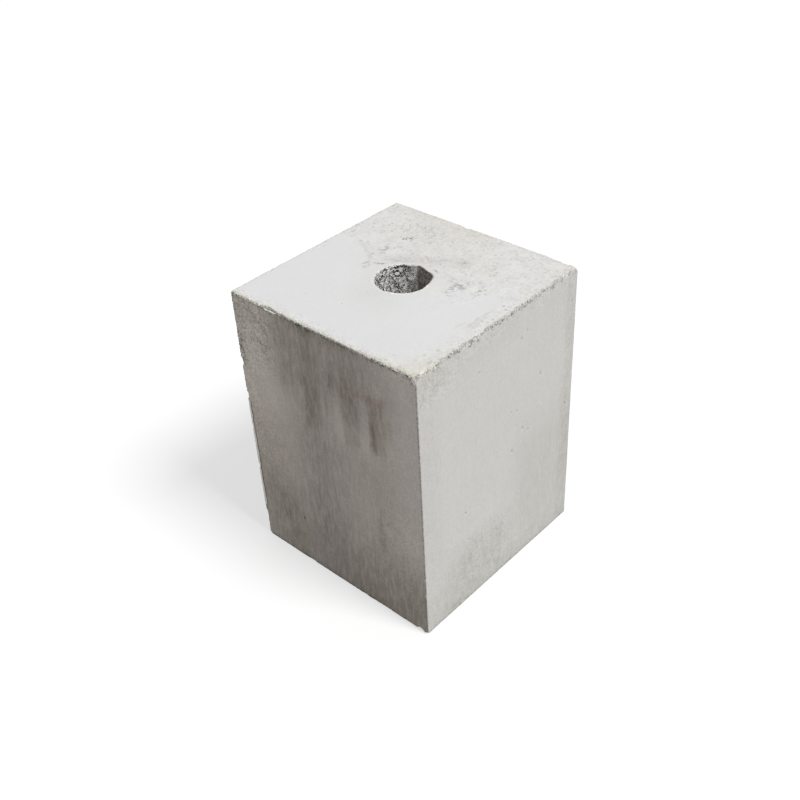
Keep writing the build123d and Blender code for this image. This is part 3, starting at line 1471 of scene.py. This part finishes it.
class BorePaint(Paint):
    """Paints the socket's wall to its finish."""

    def __init__(self, finish: BoreFinish, size: BlockSize) -> None:
        """Start the wall's material.

        Args:
            finish: the wall's finish.
            size: the block's size.
        """
        super().__init__("torn_concrete", size)
        self.finish = finish

    def build(self) -> bpy.types.Material:
        """Build the wall's material.

        Returns:
            The material.
        """
        finish = self.finish
        tone = self.grey(self.ramp(self.noise(2.0, 4.0, 0.7), 0.3, 0.7, 0.68, 1.2))
        colour = self.tint(1.0, finish.paste, tone)
        stones, shows = self._stones()
        colour = self.mix(shows, colour, stones)
        # Painted light: the hollows fade to 0.4 on the rim-shaded wall toward +X, lightening it.
        sunlit = self.ramp(self.parts(self.place)[0], -5.0, -13.0, 0.4, 1.0)
        hollows = self.maths("MULTIPLY", self._hollows(), sunlit)
        colour = self.mix(hollows, colour, finish.shade)
        # Painted shadow: a broken dark line just under the mouth.
        colour = self.mix(self._shadow_under_lip(), colour, finish.shade)
        # Painted shade on the wall right of a vertical line.
        colour = self.tint(self._shade_past_edge(), colour, finish.dim)
        apart = self._from_bright_grain()
        rim, grain = finish.bright_radius * 1.7, finish.bright_radius
        # Painted shade: a dark ring around the bright stone.
        colour = self.mix(self.ramp(apart, rim * 1.15, rim, 0.0, 0.8), colour, finish.shade)
        colour = self.mix(self.ramp(apart, grain * 1.2, grain), colour, finish.stone)
        height = self.maths("MULTIPLY_ADD", hollows, -0.8, self.noise(1.3, 4.0, 0.7, 0.5))
        return self.coat(colour, height, relief=0.6, rough=0.95, gloss=0.2)

    def _stones(self) -> tuple[Socket, Socket]:
        """Scatter pale stones over the wall.

        Returns:
            The stones' colour, and a mask of where they show.
        """
        uneven = self.sway(0.0, self.noise(1.0, 2.0, 0.5), 0.35)
        apart, picks = self.cells(self.finish.stone_grain)
        colour = self.tint(1.0, self.finish.stone, self.grey(self.ramp(picks[1], 0.0, 1.0, 0.75, 1.2)))
        near = self.ramp(self.maths("ADD", apart, uneven), 0.5, 0.3)
        return colour, self.maths("MULTIPLY", near, self.ramp(picks[0], 0.6, 0.7))

    def _hollows(self) -> Socket:
        """Return a mask of the dark crooked hollows, long and short, between the stones.

        Returns:
            The mask's socket.
        """
        hollows = 0.0
        for shrink, level, share in ((1.0, 0.5, 0.5), (0.55, 0.46, 0.54)):
            grain = self.finish.squiggle_grain * shrink
            some = self.ramp(self.noise(grain * 1.3, 2.0, 0.5), share - 0.06, share + 0.06)
            lines = self.crooked(self.noise(grain, 2.0, 0.5, 0.8), level, 0.07, 0.035, some)
            hollows = self.maths("MAXIMUM", lines, hollows)
        return hollows

    def _shade_past_edge(self) -> Socket:
        """Return a mask of painted shade: the stretch of wall to the right of a vertical line."""
        parts, seam = self.parts(self.place), self.finish.shade_edge_across
        beside = self.sway(parts[0], self.noise(1.5, 2.0, 0.5), 0.5)
        right = self.ramp(beside, seam - 0.2, seam + 0.2)
        return self.maths("MULTIPLY", right, self.ramp(parts[1], -4.0, 6.0))

    def _shadow_under_lip(self) -> Socket:
        """Return a mask of painted shadow: a broken dark line just under the mouth."""
        depth = self.maths("SUBTRACT", self.size.height, self.parts(self.place)[2])
        depth = self.sway(depth, self.noise(2.0, 3.0, 0.6), 2.2)
        apart = self.maths("ABSOLUTE", self.maths("SUBTRACT", depth, self.finish.lip_shade))
        return self.ramp(apart, 0.6, 0.15, 0.0, 0.55)

    def _from_bright_grain(self) -> Socket:
        """Return the uneven distance from the one bright stone just below the mouth.

        Returns:
            The distance's socket, in millimetres.
        """
        finish = self.finish
        grain = direction(finish.bright_angle, 0.0) * (self.size.bore_radius + finish.bright_sunk)
        grain.z = self.size.height - finish.bright_depth
        node = self.add("VectorMath", {0: self.place, 1: tuple(grain)}, operation="DISTANCE")
        return self.sway(node.outputs["Value"], self.noise(1.6, 2.0, 0.5), 2.2)


OLIVE = (0.74, 0.75, 0.66)
LILAC = (0.99, 0.99, 1.03)
MOSSY = (1.0, 1.01, 0.955)
AGED = (0.86, 0.80, 0.66)
BROWN = (0.73, 0.69, 0.64)
REDDISH = (0.80, 0.71, 0.70)
PINKISH = (0.90, 0.81, 0.80)
SMOKE = (0.64, 0.635, 0.62)
DULL = (0.78, 0.77, 0.745)
DARK = (0.55, 0.54, 0.52)
PALE = (1.22, 1.22, 1.22)
CREAM = (0.96, 0.945, 0.895)
WARM = (0.94, 0.915, 0.88)
# Painted highlight: twice the colour, along the top of the front face under its worn arris.
PAINTED_HIGHLIGHT = (2.0, 1.96, 1.9)
# Painted shade: darkens the top beside its right arris, where the rough edge shades itself.
PAINTED_EDGE_SHADE = (0.66, 0.655, 0.64)
HAZE = (0.93, 0.92, 0.89)

FRONT_ZONES = (
    Patch(-60, 178, 20, 26, 0.85),
    Patch(-69, 120, 7, 60, 0.5),
    Patch(-60, 88, 14, 26, 0.35),
    Patch(-50, 18, 30, 16, 0.3),
    Patch(50, 60, 22, 40, 0.25),
    Patch(0, 199, 80, 5, 0.5),
)

FRONT_STAINS = (
    Wash(SMOKE, (
        Patch(2, 180, 42, 34, 0.95, 0.5, 0.55),
        Patch(30, 0, 90, 50, 0.95, 0.3),
        Patch(-66, 34, 26, 32, 0.5, 0.5, 0.7),
        Patch(-12, 92, 18, 54, 0.85, 0.9, 0.5),
        Patch(-10, 184, 5.5, 18, 0.5, 0.6, 0.5),
        Patch(20, 185, 6, 16, 0.2, 0.6, 0.5),
    )),
    Wash(DULL, (
        Patch(38, 28, 44, 22, 0.4, 0.5, 0.8),
        Patch(-56, 78, 22, 40, 0.7, 0.6, 0.7),
        Patch(30, 92, 26, 40, 0.7, 0.5),
        Patch(34, 4, 44, 12, 0.45, 0.5, 0.8),
        Patch(54, 172, 7, 14, 0.4),
        Patch(-11, 145, 6.6, 18, 0.85, 0.22, 0.4),
        Patch(21.5, 144, 6.6, 18, 0.75, 0.16, 0.35),
        Patch(-34, 154, 2.4, 8, 0.5),
        Patch(-34, 185, 5, 12, 0.5, 0.7),
        Patch(40, 66, 3, 17, 0.7, 0.6, 0.5),
    )),
    Wash(PALE, (
        Patch(-64, 162, 20, 54, 0.45, 0.6, 0.4),
        Patch(10.5, 146, 3.6, 17, 0.55, 0.4, 0.5),
        Patch(33, 142, 3, 16, 0.3, 0.5, 0.5),
        Patch(-57, 24, 6, 6, 0.5, 0.8, 0.8),
    )),
    Wash(MOSSY, (
        Patch(-62, 60, 26, 70, 0.4, 0.9),
        Patch(58, 30, 22, 44, 0.35, 0.9),
    )),
    Wash(LILAC, (
        Patch(-6, 60, 18, 60, 0.8, 0.9),
        Patch(46, 140, 44, 60, 0.6, 0.7, 0.5),
    )),
    Wash(OLIVE, (
        Patch(-68, 192, 12, 12, 0.35),
        Patch(-15.5, 135, 2.8, 9, 0.7, 0.5, 0.4),
        Patch(52, 152, 3.4, 10, 0.5, 0.7),
    )),
    Wash(BROWN, (Patch(43, 153, 6.2, 19, 0.8, 0.3, 0.4),)),
    Wash(DARK, (
        Patch(39.5, 142, 2.8, 9, 0.75, 0.5, 0.5),
        Patch(7.5, 168, 2.4, 6, 0.6, 0.6, 0.5),
        Patch(4, 196, 34, 3, 0.35, 0.4, 0.7),
    )),
    Wash(REDDISH, (Patch(19, 168.5, 6, 8, 0.65, 0.6, 0.5),)),
    Wash(PINKISH, (Patch(38, 169.5, 14, 2.6, 0.7, 0.3, 0.8, 4),)),
)

FRONT_TORN = (
    Patch(-72.5, 160, 2.2, 13, 1, 0.5, 0.3),
    Patch(-60, 182, 20, 20, 0.42, 0.5, 0.4),
    Patch(0, 198.6, 76, 1.4, 0.4, 0.2, 0.7),
    Patch(70, 199, 5, 2, 1, 0.4),
)

RIGHT_ZONES = (
    Patch(-22, 28, 32, 26, 0.8),
    Patch(55, 10, 40, 14, 0.4),
    Patch(70, 120, 8, 80, 0.5),
    Patch(-60, 188, 18, 13, 0.9),
    Patch(0, 196, 90, 7, 0.6),
    Patch(-70, 90, 7, 110, 0.3),
)

RIGHT_STAINS = (
    Wash(DULL, (
        Patch(-22, 22, 32, 26, 0.55, 0.5),
        Patch(50, 48, 34, 56, 0.42, 0.4, 0.5),
        Patch(72, 110, 8, 110, 0.42),
        Patch(-64, 12, 14, 16, 0.35, 0.7, 0.7),
        Patch(-73, 120, 14, 80, 0.22),
        Patch(0, 195, 90, 12, 0.1),
        Patch(0, 0, 90, 10, 0.35, 0.6, 0.9),
        Patch(-45, 5, 5, 3, 0.7, 0.9, 0.9),
        Patch(-33, 41, 6, 7, 0.2, 0.9, 0.9),
        Patch(-3, 39, 4, 4, 0.2, 0.9, 0.9),
    )),
    Wash(WARM, (Patch(-62, 191, 14, 9, 0.45),)),
)

RIGHT_TORN = (
    Patch(-22, 199.4, 44, 1.4, 0.9, 0.3, 0.7),
    Patch(48, 199.6, 26, 1.2, 0.6, 0.4, 0.7),
    Patch(-62, 190, 12, 10, 0.14, 0.5),
    Patch(-20, 24, 26, 20, 0.12, 0.5),
)

TOP_ZONES = (
    Patch(0, 54, 100, 36, 1, 0.2, 0.3),
    Patch(-40, 24, 12, 14, 0.6),
    Patch(36, 10, 14, 14, 0.7),
    Patch(71, -10, 7, 70, 0.9),
    Patch(0, -72, 90, 4, 0.8),
    Patch(66, -62, 12, 14, 0.5),
)

TOP_STAINS = (
    Wash(AGED, (
        Patch(-10, 62, 100, 36, 0.14, 0.25, 0.5),
        Patch(-6, 34, 44, 44, 0.12, 0.35, 0.35, 45),
        Patch(-40, 74, 60, 12, 0.2, 0.3, 0.8),
    )),
    # Painted shade on the top's last millimetres beside the right arris.
    Wash(PAINTED_EDGE_SHADE, (Patch(75.2, 0, 1.6, 90, 0.8, 0.7, 0.1),)),
    Wash(PALE, (Patch(40, 10, 30, 60, 0.06, 0.6, 0.4),)),
    Wash(DULL, (
        Patch(-14, 20, 16, 3.5, 0.5, 0.5, 0.9, 33),
        Patch(6, 30, 12, 5, 0.25, 0.7, 0.9, 30),
        Patch(18, 37, 4, 4, 0.4, 0.9, 0.9),
        Patch(24, 17, 8, 4, 0.25, 0.8, 0.8),
        Patch(46, 13, 3, 6, 0.2, 0.7, 0.7),
        Patch(-6, 2, 14, 30, 0.14, 0.8),
        Patch(64.5, -9, 1.2, 11, 0.6, 0.7, 0.4),
        Patch(67.5, -12, 1, 9, 0.45, 0.7, 0.4, 4),
        Patch(60, -20, 1, 5, 0.35, 0.7, 0.5, -8),
    )),
    Wash(HAZE, (Patch(3, -30, 20, 10, 0.3, 0.8, 0.8),)),
    Wash(CREAM, (
        Patch(75, -75, 28, 19, 1, 0.4, 0.5, 45),
        Patch(0, -75, 90, 2.6, 0.6, 0.1, 0.5),
        Patch(75, 0, 10, 90, 0.45, 0.7, 0.1),
    )),
    Wash(DARK, (
        *scar(((-58, 20.5), (-48.5, 16), (-37, 8.5), (-31, 2), (-29, -5.5)), 1.6, 0.16),
        *scar(((-35, 25), (-34.5, 13)), 1.6, 0.16),
        *scar(((-28.8, 3.2), (-22.5, 6.4)), 0.6, 1),
        *scar(((-27, 10), (-15, 15), (-8, 20)), 0.7, 0.3),
        *scar(((-22, 6.5), (-19, 12), (-15, 22)), 0.6, 0.25),
    )),
)

TOP_TORN = (
    Patch(32.5, 11, 4.5, 10, 0.55, 0.4, 0.4),
    Patch(46, 12.5, 2.4, 6, 0.7, 0.5, 0.5),
    Patch(24, 16, 5, 3, 0.3, 0.5, 0.5),
    Patch(-32.5, 40, 3, 3, 0.8, 0.5, 0.5),
    Patch(-35.5, 17, 2.6, 8, 0.6, 0.6, 0.4),
    Patch(-31, 1, 2.6, 5, 0.6, 0.6, 0.5),
    Patch(-32, 55, 16, 9, 0.28, 0.5, 0.5),
    Patch(-16, 50, 10, 8, 0.2),
    Patch(18, 37, 4, 4, 0.25),
    Patch(34, 45, 3, 6, 0.25),
    Patch(8.5, 18.5, 3, 2.4, 0.8, 0.5, 0.5),
    Patch(74.6, -25, 1, 48, 0.6, 0.6, 0.2),
)

FINISHES = (
    ConcreteFinish(
        FRONT,
        linear(204, 196, 188),
        sand=0.13,
        streak=0.05,
        blotch=0.08,
        grit=0.2,
        grain=1.25,
        rough=0.25,
        edges=(
            EdgeTone(RIGHT, 0.4, 0.8),
            EdgeTone(LEFT, 0.5, 0.9),
            EdgeTone(TOP, 0.12, 2.0),
            # Painted highlight along the top of the front face, under its worn arris.
            EdgeTone(TOP, 1.0, 1.9, PAINTED_HIGHLIGHT),
            EdgeTone(BASE, 0.4, 2.0),
        ),
        crumbs=0.8,
        # Darker partly as painted shade on the cove walls.
        broken_tone=(0.42, 0.40, 0.365),
        # Near white partly as a painted highlight on the flash and ledges.
        pale_and_highlight_tone=(0.96, 0.95, 0.92),
        # Strong: painted shade in the flash's groove and on the cove walls, and darkening in the pits.
        pit_and_shade_darkening=0.8,
        tear_grain=2.0,
        zones=FRONT_ZONES,
        stains=FRONT_STAINS,
        torn=FRONT_TORN,
    ),
    ConcreteFinish(
        RIGHT,
        linear(208, 207, 203),
        cloud=0.02,
        mottle=0.02,
        streak=0.05,
        blotch=0.035,
        grit=0.08,
        grain=1.4,
        edges=(
            EdgeTone(FRONT, 0.85, 1.3),
            EdgeTone(BACK, 0.15, 1.0),
            EdgeTone(TOP, 0.24, 1.9),
            EdgeTone(BASE, 0.25, 1.4),
        ),
        crumbs=0.65,
        broken_tone=(0.60, 0.595, 0.575),
        tear_tone=(0.42, 0.405, 0.38),
        tear_grain=2.2,
        zones=RIGHT_ZONES,
        stains=RIGHT_STAINS,
        torn=RIGHT_TORN,
    ),
    ConcreteFinish(BACK, linear(203, 201, 196), cloud=0.08, mottle=0.05, streak=0.05, rough=0.4),
    ConcreteFinish(LEFT, linear(202, 199, 192), cloud=0.09, mottle=0.05, streak=0.05, rough=0.4),
    ConcreteFinish(
        TOP,
        linear(212, 212, 212),
        cloud=0.02,
        mottle=0.02,
        sand=0.03,
        blotch=0.04,
        grit=0.04,
        rough=0.05,
        specks=0.22,
        speck_size=0.42,
        # Painted shade beside the right arris, where its rough edge shades itself.
        edges=(EdgeTone(RIGHT, 0.16, 1.0),),
        broken_tone=(0.68, 0.672, 0.645),
        broken_range=(0.78, 1.14),
        # Painted highlight on the socket's near rim, and pale paste with a painted highlight on the ledges.
        pale_and_highlight_tone=(0.86, 0.855, 0.84),
        pit_and_shade_darkening=0.28,
        tear_tone=(0.42, 0.405, 0.38),
        tear_grain=3.4,
        zones=TOP_ZONES,
        stains=TOP_STAINS,
        torn=TOP_TORN,
    ),
    ConcreteFinish(BASE, linear(190, 186, 178), cloud=0.10, mottle=0.08, sand=0.08, rough=0.6),
)


@dataclass
class ConcreteBlock:
    """The cast block: its one piece, modelled and dressed."""

    size: BlockSize

    def build(self) -> bpy.types.Object:
        """Make the block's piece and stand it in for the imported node.

        Returns:
            The piece.
        """
        mesh = BlockMesh(self.size, Weathering(self.size)).build()
        for finish in FINISHES:
            mesh.materials.append(FacePaint(finish, self.size).build())
        mesh.materials.append(BorePaint(BoreFinish(), self.size).build())
        piece = add_object("concrete_block", mesh)
        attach(piece, BODY)
        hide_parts(NODE)
        return piece


@dataclass
class Studio:
    """The pale floor, the soft light and the camera."""

    sun_azimuth: float = 9.0
    sun_height: float = 55.0
    sun_strength: float = 2.67
    sun_softness: float = 20.0
    sky: float = 0.434
    floor_half: float = 6.0
    floor_seen: float = 0.42
    floor_glow: float = 0.56
    floor_bounce: float = 0.40
    camera_azimuth: float = 44.19
    camera_elevation: float = 36.27
    camera_roll: float = -3.48
    camera_place: Triple = (0.3878, -0.4092, 0.5226)
    lens: float = 47.8
    sensor: float = 36.0
    clip: tuple[float, float] = (0.01, 20.0)

    def build(self) -> None:
        """Make the floor, the light, the surroundings and the camera."""
        self._floor()
        self._light()
        self._sky()
        self._camera()

    def _floor(self) -> None:
        """Lay a pale floor that keeps the block's soft shadow."""
        bm = bmesh.new()
        bmesh.ops.create_grid(bm, x_segments=1, y_segments=1, size=self.floor_half)
        mesh = bpy.data.meshes.new("floor")
        bm.to_mesh(mesh)
        bm.free()
        mesh.materials.append(self._floor_finish())
        add_object("floor", mesh)

    def _floor_finish(self) -> bpy.types.Material:
        """Return a finish that the camera sees as white and the block as pale grey."""
        kit = Nodes(bpy.data.materials.new("pale_floor"))
        inputs = {"Color": WHITE, "Strength": self.floor_glow}
        glow = kit.add("Emission", inputs).outputs[0]
        white = kit.add("AddShader", {0: kit.diffuse(self.floor_seen), 1: glow}).outputs[0]
        by_camera = kit.add("LightPath").outputs["Is Camera Ray"]
        surface = kit.choose(by_camera, kit.diffuse(self.floor_bounce), white)
        below = kit.add("NewGeometry").outputs["Backfacing"]
        whole = kit.choose(below, surface, kit.add("BsdfTransparent").outputs[0])
        kit.add("OutputMaterial", {"Surface": whole})
        return kit.owner

    def _light(self) -> None:
        """Hang one broad soft light to the right of the block."""
        lamp = bpy.data.lights.new("key", "SUN")
        lamp.energy = self.sun_strength
        lamp.angle = math.radians(self.sun_softness)
        key = add_object("key", lamp)
        key.location = direction(self.sun_azimuth, self.sun_height)
        key.rotation_mode = "QUATERNION"
        key.rotation_quaternion = key.location.to_track_quat("Z", "Y")

    def _sky(self) -> None:
        """Surround the block with even, dim white, which the camera sees as full white."""
        kit = Nodes(bpy.data.worlds.new("studio"))
        by_camera = kit.add("LightPath").outputs["Is Camera Ray"]
        strength = kit.add("MapRange", {"Value": by_camera, "To Min": self.sky, "To Max": 1.0})
        inputs = {"Color": WHITE, "Strength": strength.outputs["Result"]}
        kit.add("OutputWorld", {"Surface": kit.add("Background", inputs).outputs[0]})
        bpy.context.scene.world = kit.owner

    def _camera(self) -> None:
        """Stand the camera where the photograph was taken from."""
        back = direction(self.camera_azimuth - 90.0, self.camera_elevation)
        roll = math.radians(self.camera_roll)
        level = (-back).cross(Vector((0.0, 0.0, 1.0))).normalized()
        upright = level.cross(-back)
        right = level * math.cos(roll) + upright * math.sin(roll)
        upward = upright * math.cos(roll) - level * math.sin(roll)
        pose = Matrix((right, upward, back)).transposed().to_4x4()
        pose.translation = Vector(self.camera_place)
        data = bpy.data.cameras.new("camera")
        data.lens = self.lens
        data.sensor_width = self.sensor
        data.clip_start, data.clip_end = self.clip
        camera = add_object("camera", data)
        camera.matrix_world = pose
        bpy.context.scene.camera = camera


def main() -> None:
    """Build the block and its studio, and report each piece."""
    logging.basicConfig(level=logging.INFO, format="%(name)s: %(message)s")
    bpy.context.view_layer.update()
    bpy.context.scene.view_settings.view_transform = "Standard"
    piece = ConcreteBlock(BlockSize.from_frame()).build()
    piece.data.calc_loop_triangles()
    LOG.info("%s: %d triangles", piece.name, len(piece.data.loop_triangles))
    Studio().build()
    LOG.info("studio: floor, light and camera")


if __name__ == "__main__":
    main()
